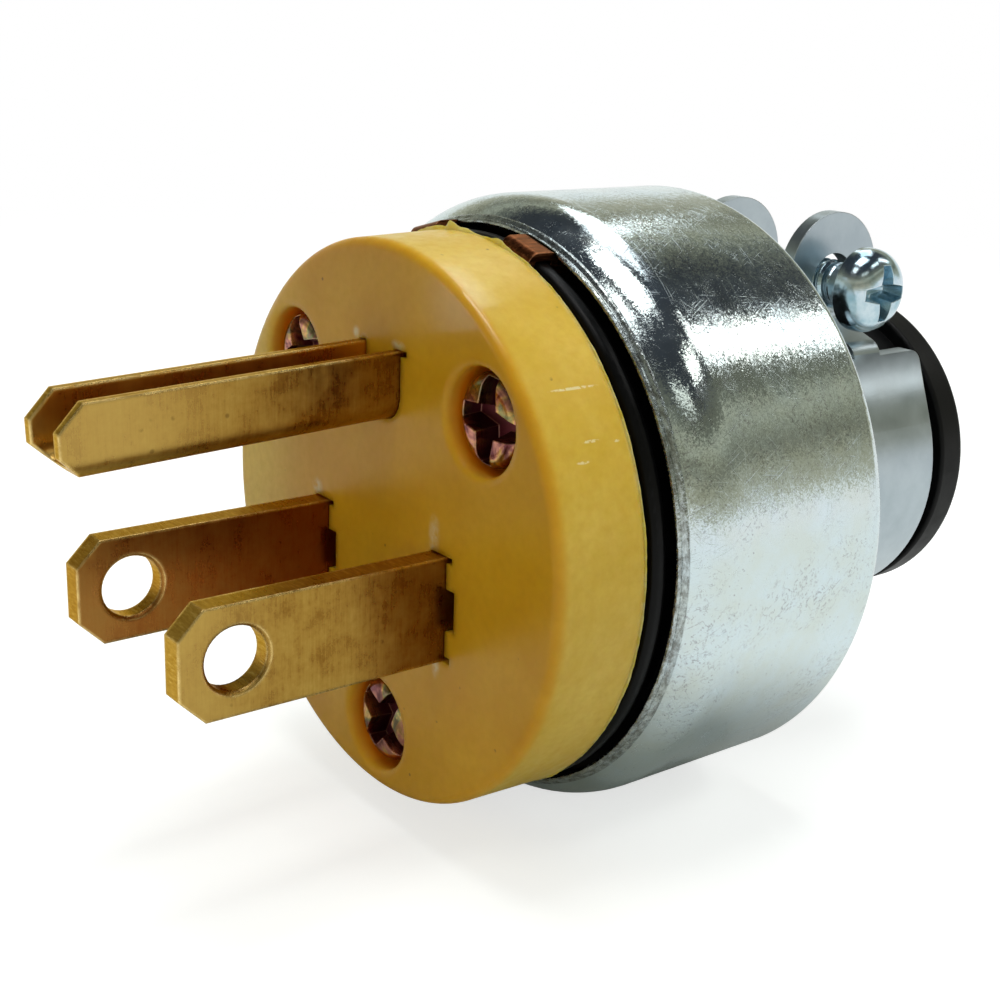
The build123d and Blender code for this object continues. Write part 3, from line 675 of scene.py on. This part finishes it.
def tilted(tree, where, scale, amount, normal):
    """A normal tipped a little, another way on each small cell of the surface."""
    node = tree.nodes.new("ShaderNodeTexVoronoi")
    put(tree, node.inputs["Vector"], where)
    node.inputs["Scale"].default_value = scale
    tip = vector_calc(tree, "SUBTRACT", node.outputs["Color"], (0.5, 0.5, 0.5)).outputs["Vector"]
    tip = vector_calc(tree, "MULTIPLY", tip, (amount, amount, amount)).outputs["Vector"]
    tipped = vector_calc(tree, "ADD", normal, tip).outputs["Vector"]
    return vector_calc(tree, "NORMALIZE", tipped).outputs["Vector"]


def fleck_mask(tree, where, flat):
    """Grime in patches: winding lines, crumbs and trails, all broken up."""
    patches = remap(tree, grain(tree, where, 0.20, 4, 0.6), 0.46, 0.58)
    winding = calc(tree, "ABSOLUTE", minus(tree, grain(tree, where, 1.2, 4, 0.65, 0.5), 0.5))
    squiggles = times(tree, remap(tree, winding, 0.022, 0.008), patches)
    crumbs = times(tree, remap(tree, cells(tree, where, 3.4), 0.24, 0.14),
                   remap(tree, grain(tree, where, 0.6, 3, 0.6), 0.54, 0.62))
    trails = times(tree, streaks(tree, flat, *SHELL_TRAILS), patches)
    broken = remap(tree, grain(tree, where, 4.0, 2), 0.44, 0.56)
    return times(tree, strongest(tree, (squiggles, crumbs, trails)), broken)


def shell_zinc():
    """Worn zinc plating: fine crystals that break up reflections, grime, scratches, haze and a raw lip."""
    made, tree, shader = material("shell_steel")
    where = place_mm(tree)
    flat = round_mm(tree, where)
    along = split(tree, where)[1]
    clouds = grain(tree, where, 0.35, 4, 0.6)
    colour = ramp(tree, clouds, SHELL_TONES)
    colour = mix(tree, times(tree, fleck_mask(tree, where, flat), 0.5), colour, SHELL_GRIME)
    lip = remap(tree, along, *(SHELL_FRONT + width for width in SHELL_LIP_WIDTH))
    combed = grain(tree, round_mm(tree, where, (1.6, 3.0, 3.0)), 1.0, 4, 0.7)
    stained = times(tree, lip, remap(tree, combed, 0.62, 0.38, 0.15, 0.85))
    colour = mix(tree, stained, colour, SHELL_LIP_GRIME)

    scratches = strongest(tree, [streaks(tree, flat, *row) for row in SHELL_SCRATCHES])
    scratches = times(tree, scratches, remap(tree, clouds, 0.42, 0.60))
    haze = remap(tree, grain(tree, where, 0.5, 6, 0.72), 0.50, 0.66)
    pits = times(tree, remap(tree, cells(tree, where, 7.0), 0.34, 0.20),
                 remap(tree, grain(tree, where, 0.8, 4, 0.65), 0.46, 0.60))
    roughness = remap(tree, clouds, 0.3, 0.7, 0.10, 0.13)
    for mark, share in ((scratches, 0.16), (pits, 0.20), (haze, 0.08), (lip, 0.12)):
        roughness = plus(tree, roughness, times(tree, mark, share))

    normal = soft_normal(tree, SHELL_ROUNDING)
    for scale, amount in SHELL_CRYSTALS:
        normal = tilted(tree, where, scale, amount, normal)
    normal = bump(tree, times(tree, scratches, -1.0), 0.25, 0.01 * MM, normal)
    set_surface(tree, shader, colour, roughness, normal)
    return made


def zinc(name, dark, bright, rough, scale, bowed=False):
    """Smooth bright zinc plating with soft patches and a painted highlight on its edges, on sides that bow
    out a little if bowed.
    """
    made, tree, shader = material(name)
    where = place_mm(tree)
    tone = grain(tree, where, scale, 4, 0.6)
    rounded = soft_normal(tree, ZINC_ROUNDING)
    colour = ramp(tree, tone, ((0.30, dark), (0.70, bright)))
    # Painted highlight along the edges
    colour = mix(tree, times(tree, edge_mask(tree, rounded), 0.4), colour, ZINC_EDGE_HIGHLIGHT)
    normal = bump(tree, grain(tree, where, 2.4), 0.3, 0.01 * MM, rounded)
    normal = bump(tree, grain(tree, where, 9.0, 1), 0.3, 0.01 * MM, normal)
    if bowed:
        rise = remap(tree, split(tree, where)[2], BOW_START, BOW_END, 0.0, BOW_END - BOW_START)
        sunk = times(tree, times(tree, rise, rise), -0.5 / BOW_RADIUS)
        normal = bump(tree, sunk, 1.0, MM, normal)
    set_surface(tree, shader, colour, remap(tree, tone, 0.3, 0.7, *rough), normal)
    return made


def chromate():
    """Yellow chromate on the face screws: gold, pink and green patches, painted shade in dark purple down in
    the recess, and a painted highlight on the edges.
    """
    made, tree, shader = material("face_screw_steel")
    where = place_mm(tree)
    along = split(tree, where)[1]
    colour = ramp(tree, grain(tree, where, 0.62, 3, 0.5, 0.8), CHROMATE_TONES)
    shade = remap(tree, grain(tree, where, 1.1, 3, 0.6), 0.46, 0.62)
    colour = mix(tree, times(tree, shade, 0.65), colour, CHROMATE_SHADE)
    # Painted shade: darker purple deeper down the recess
    depth = remap(tree, along, *RECESS_DEPTHS)
    colour = mix(tree, depth, colour, CHROMATE_RECESS_SHADE)
    rounded = soft_normal(tree, CHROMATE_ROUNDING)
    # Painted highlight along the edges
    colour = mix(tree, times(tree, edge_mask(tree, rounded), 0.3), colour, CHROMATE_EDGE_HIGHLIGHT)
    normal = bump(tree, grain(tree, where, 2.2), 0.45, 0.02 * MM, rounded)
    set_surface(tree, shader, colour, remap(tree, depth, 0.0, 1.0, 0.2, 0.4), normal)
    return made


def black_plastic(name, level, rough, specular):
    """Black moulding with a faint uneven sheen, from its darkest level as 0 to 255."""
    made, tree, shader = material(name)
    where = place_mm(tree)
    tone = grain(tree, where, 0.8, 4, 0.6)
    dark = srgb(level, level, level)
    pale = srgb(level + 5, level + 5, level + 6)
    colour = ramp(tree, tone, ((0.3, dark), (0.7, pale)))
    roughness = remap(tree, tone, 0.3, 0.7, rough - 0.05, rough + 0.08)
    normal = bump(tree, grain(tree, where, 4.0, 3), 0.2, 0.01 * MM, soft_normal(tree, BLACK_ROUNDING))
    set_surface(tree, shader, colour, roughness, normal, metallic=0.0)
    shader.inputs["Specular IOR Level"].default_value = specular
    return made


def dress_nodes():
    """Give every node its material, and return the materials by name."""
    made = {
        "yellow_plastic": yellow_plastic("yellow_plastic", YELLOW_ROUNDING),
        "yellow_flash": yellow_plastic("yellow_flash", FLASH_ROUNDING),
        "blade_brass": brass(),
        "strap_copper": copper(),
        "black_plastic": black_plastic("black_plastic", 3, 0.34, 0.13),
        "black_bushing": black_plastic("black_bushing", 6, 0.45, 0.17),
        "carrier_plastic": black_plastic("carrier_plastic", 24, 0.5, 0.4),
        "shell_steel": shell_zinc(),
        "face_screw_steel": chromate(),
        "clamp_steel": zinc("clamp_steel", srgb(166, 178, 185), srgb(190, 201, 207), (0.28, 0.38), 0.3,
                            bowed=True),
        "screw_steel": zinc("screw_steel", srgb(160, 192, 206), srgb(222, 233, 239), (0.12, 0.20), 0.7),
        "inner_steel": zinc("inner_steel", srgb(150, 150, 146), srgb(196, 196, 190), (0.25, 0.40), 0.5),
    }
    for row in frame["record"]["subparts"]:
        for held in frame["nodes"][row["node"]].material_slots:
            held.material = made[row["material_slot"]]
    return made


# Added pieces


def add_piece(name, mesh_maker, finish):
    """Build a mesh, give it a finish, and let it ride on the plug."""
    mesh = bpy.data.meshes.new(name)
    shape = bmesh.new()
    mesh_maker(shape)
    bmesh.ops.recalc_face_normals(shape, faces=shape.faces)
    shape.to_mesh(mesh)
    shape.free()
    mesh.materials.append(finish)
    piece = bpy.data.objects.new(name, mesh)
    bpy.context.collection.objects.link(piece)
    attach(piece, BODY)


def bridge(shape, rings, closed):
    """Join rings of vertices with quads, each ring closed on itself, and the last to the first if closed."""
    pairs = list(zip(rings, rings[1:]))
    if closed:
        pairs.append((rings[-1], rings[0]))
    for one, two in pairs:
        for k in range(len(one)):
            m = (k + 1) % len(one)
            shape.faces.new((one[k], one[m], two[m], two[k]))


def clamp_thread(shape):
    """A helical ridge on the clamp screw, from near its nut to near its head."""
    centre_y = (NUT_LOW.y + NUT_HIGH.y) / 2
    centre_z = (NUT_LOW.z + NUT_HIGH.z) / 2
    start = NUT_HIGH.x + THREAD_PITCH
    end = SCREW_HIGH.x - THREAD_BELOW_HEAD_TOP
    turns = (end - start) / THREAD_PITCH
    count = int(turns * THREAD_STEPS)
    rings = []
    for k in range(count + 1):
        share = k / count
        angle = 2 * math.pi * turns * share
        x = start + (end - start) * share
        fade = min(1.0, THREAD_RUN_OUT * share, THREAD_RUN_OUT * (1 - share))
        crest = THREAD_ROOT + (THREAD_CREST - THREAD_ROOT) * fade
        profile = ((-THREAD_HALF_WIDTH, THREAD_ROOT), (-THREAD_FLAT / 2, crest),
                   (THREAD_FLAT / 2, crest), (THREAD_HALF_WIDTH, THREAD_ROOT))
        rings.append([shape.verts.new((x + aside, centre_y + radius * math.cos(angle),
                                       centre_z + radius * math.sin(angle))) for aside, radius in profile])
    bridge(shape, rings, closed=False)
    shape.faces.new(rings[0])
    shape.faces.new(rings[-1])


def random_shift(chance):
    """A random place to read noise from."""
    return Vector([chance.uniform(0, NOISE_SHIFT) for _ in range(3)])


def round_steps(count):
    """Angles round the plug's axis, each with its cosine and sine."""
    for k in range(count):
        angle = 2 * math.pi * k / count
        yield angle, math.cos(angle), math.sin(angle)


def rim_flash(shape):
    """A thin ragged fin round the rear rim of the yellow face."""
    offset = random_shift(random.Random(FLASH_SEED))
    radius = FACE_HIGH.x
    rear = FACE_HIGH.y - FLASH_INSET
    edge_start, edge_end = FLASH_EDGE
    rings = []
    for angle, across, up in round_steps(FLASH_STEPS):
        spoke = Vector((across, up, 0))
        ripples = FLASH_RIPPLE_SHARE * field.noise(spoke * FLASH_RIPPLES + offset)
        ragged = field.noise(spoke * FLASH_WAVES + offset) + ripples
        height = FLASH_HEIGHT * max(FLASH_LEAST, FLASH_USUAL + ragged)
        for middle, reach, rise in FLASH_PEAKS:
            away = abs(math.degrees(angle) - middle) / reach
            height += rise * max(0.0, 1 - away * away) * (PEAK_USUAL + PEAK_RAGGED * ragged)
        profile = ((radius - FLASH_INSIDE, rear - FLASH_DEPTH),
                   (radius + height, rear - edge_start * FLASH_DEPTH),
                   (radius + height, rear - edge_end * FLASH_DEPTH),
                   (radius - FLASH_INSIDE, rear))
        rings.append([shape.verts.new((r * across, y, r * up)) for r, y in profile])
    bridge(shape, rings, closed=True)


def lip_edge(shape):
    """The raw edge of the shell's sheet, worked into two uneven ridges, and thinner over the copper tabs."""
    chance = random.Random(LIP_SEED)
    offset = random_shift(chance)
    rings = []
    for angle, across, up in round_steps(LIP_STEPS):
        lift = 0.0
        for middle in LIP_TAB_ANGLES:
            away = abs(math.degrees(angle) - middle) / LIP_TAB_REACH
            slope = max(0.0, LIP_TAB_SLOPE - LIP_TAB_SLOPE * away)
            lift = max(lift, LIP_TAB_LIFT * min(1.0, slope))
        low = LIP_FLOOR + lift
        points = [(low, LIP_REAR), (low, LIP_NOSE)]
        for n, (radius, back, share) in enumerate(LIP_RIDGES):
            slow = field.noise(Vector((across, up, LIP_WAVE_SHIFT * n)) * LIP_WAVES + offset)
            quick = field.noise(Vector((across, up, LIP_RIPPLE_SHIFT * n)) * LIP_RIPPLES + offset)
            quick += chance.uniform(-LIP_JITTER, LIP_JITTER)
            ragged = LIP_RAGGED * share * (LIP_WAVE_SHARE * slow + quick)
            points.append((max(radius + ragged, low + LIP_THINNEST), back + LIP_RAGGED_ALONG * ragged))
        rings.append([shape.verts.new((r * MM * across, SHELL_LOW.y + y * MM, r * MM * up))
                      for r, y in points])
    bridge(shape, rings, closed=True)


# Stage


def add_camera():
    """A camera that looks at the plug from in front, from the right and from above."""
    azimuth, elevation = math.radians(CAMERA_AZIMUTH), math.radians(CAMERA_ELEVATION)
    back = Vector((math.sin(azimuth) * math.cos(elevation), -math.cos(azimuth) * math.cos(elevation),
                   math.sin(elevation)))
    level_right = Vector((math.cos(azimuth), math.sin(azimuth), 0))
    level_up = back.cross(level_right)
    roll = math.radians(CAMERA_ROLL)
    right = level_right * math.cos(roll) + level_up * math.sin(roll)
    up = level_up * math.cos(roll) - level_right * math.sin(roll)
    place = right * CAMERA_ASIDE + up * CAMERA_RAISE + back * CAMERA_DISTANCE
    data = bpy.data.cameras.new("camera")
    data.sensor_width = CAMERA_SENSOR
    data.lens = CAMERA_LENS
    data.clip_start = CAMERA_NEAREST
    camera = bpy.data.objects.new("camera", data)
    turn = Matrix((right, up, back)).transposed()
    camera.matrix_world = Matrix.Translation(place) @ turn.to_4x4()
    bpy.context.collection.objects.link(camera)
    bpy.context.scene.camera = camera


def add_floor():
    """A wide floor that takes shadows near the plug, looks white, and glows less in mirrors near the plug."""
    half = FLOOR_SIZE / 2
    mesh = bpy.data.meshes.new("floor")
    corners = [(-half, -half, FLOOR_LEVEL), (half, -half, FLOOR_LEVEL), (half, half, FLOOR_LEVEL),
               (-half, half, FLOOR_LEVEL)]
    mesh.from_pydata(corners, [], [(0, 1, 2, 3)])
    floor = bpy.data.objects.new("floor", mesh)
    bpy.context.collection.objects.link(floor)
    made, tree, shader = material("floor_paper")
    where = tree.nodes.new("ShaderNodeTexCoord").outputs["Object"]
    away = vector_calc(tree, "DISTANCE", where, FLOOR_CENTRE).outputs["Value"]
    far = remap(tree, away, FLOOR_NEAR, FLOOR_FAR, smooth=True)
    put(tree, shader.inputs["Base Color"], mix(tree, far, FLOOR_COLOUR, BLACK))
    shader.inputs["Roughness"].default_value = FLOOR_ROUGHNESS
    shader.inputs["Specular IOR Level"].default_value = 0.0
    rays = tree.nodes.new("ShaderNodeLightPath").outputs
    mirrored = larger(tree, rays["Is Glossy Ray"], rays["Is Transmission Ray"])
    reflected = remap(tree, away, FLOOR_GLOW_START, FLOOR_GLOW_FULL, 0.0, FLOOR_GLOW_MIRRORED, smooth=True)
    near = plus(tree, times(tree, rays["Is Camera Ray"], FLOOR_GLOW_SEEN), times(tree, mirrored, reflected))
    seen = larger(tree, rays["Is Camera Ray"], mirrored)
    glow = plus(tree, times(tree, near, minus(tree, 1.0, far)), times(tree, seen, far))
    shader.inputs["Emission Color"].default_value = WHITE
    put(tree, shader.inputs["Emission Strength"], glow)
    mesh.materials.append(made)


def add_sky():
    """Pale at the horizon and higher up behind the plug, dim overhead, and white to the camera."""
    world = bpy.data.worlds.new("sky")
    bpy.context.scene.world = world
    world.use_nodes = True
    tree = world.node_tree
    ground = tree.nodes["Background"]
    ray = tree.nodes.new("ShaderNodeTexCoord").outputs["Generated"]
    height = vector_calc(tree, "DOT_PRODUCT", ray, (0, 0, 1)).outputs["Value"]
    azimuth = math.radians(CAMERA_AZIMUTH)
    backward = (-math.sin(azimuth), math.cos(azimuth), 0)
    behind = vector_calc(tree, "DOT_PRODUCT", ray, backward).outputs["Value"]
    lift = remap(tree, behind, SKY_BACK_START, SKY_BACK_FULL, 0.0, SKY_BACK_LIFT, smooth=True)
    dim = ramp(tree, minus(tree, height, lift), SKY_STOPS)
    seen = tree.nodes.new("ShaderNodeLightPath").outputs["Is Camera Ray"]
    put(tree, ground.inputs["Color"], mix(tree, seen, dim, WHITE))
    ground.inputs["Strength"].default_value = 1.0


def add_lamp(name, place, size, turn, radiance, colour, mirrored):
    """One soft lamp. A lamp that isn't mirrored lights only dull surfaces."""
    data = bpy.data.lights.new(name, "AREA")
    data.shape = "RECTANGLE"
    data.size, data.size_y = size
    data.energy = radiance * math.pi * size[0] * size[1]
    data.color = colour
    lamp = bpy.data.objects.new(name, data)
    lamp.location = place
    lamp.rotation_euler = turn
    lamp.visible_glossy = mirrored
    bpy.context.collection.objects.link(lamp)


def add_lamps():
    """All lamps, each split where it is dimmer in mirrors than on dull surfaces."""
    for name, place, size, angle, radiance, shown, colour in LAMPS:
        turn = (0, 0, math.radians(angle))
        add_lamp(name, place, size, turn, shown, colour, True)
        if radiance > shown:
            add_lamp(name + "_dull", place, size, turn, radiance - shown, colour, False)
    turn = Vector(FILL_PLACE).to_track_quat("Z", "Y").to_euler()
    add_lamp("fill", FILL_PLACE, (FILL_SIZE, FILL_SIZE), turn, FILL_RADIANCE, FILL_COLOUR, False)


materials = dress_nodes()
add_piece("clamp_screw_thread", clamp_thread, materials["screw_steel"])
add_piece("face_rim_flash", rim_flash, materials["yellow_flash"])
add_piece("shell_lip_edge", lip_edge, materials["shell_steel"])
add_camera()
add_floor()
add_sky()
add_lamps()
bpy.context.scene.view_settings.view_transform = "Standard"
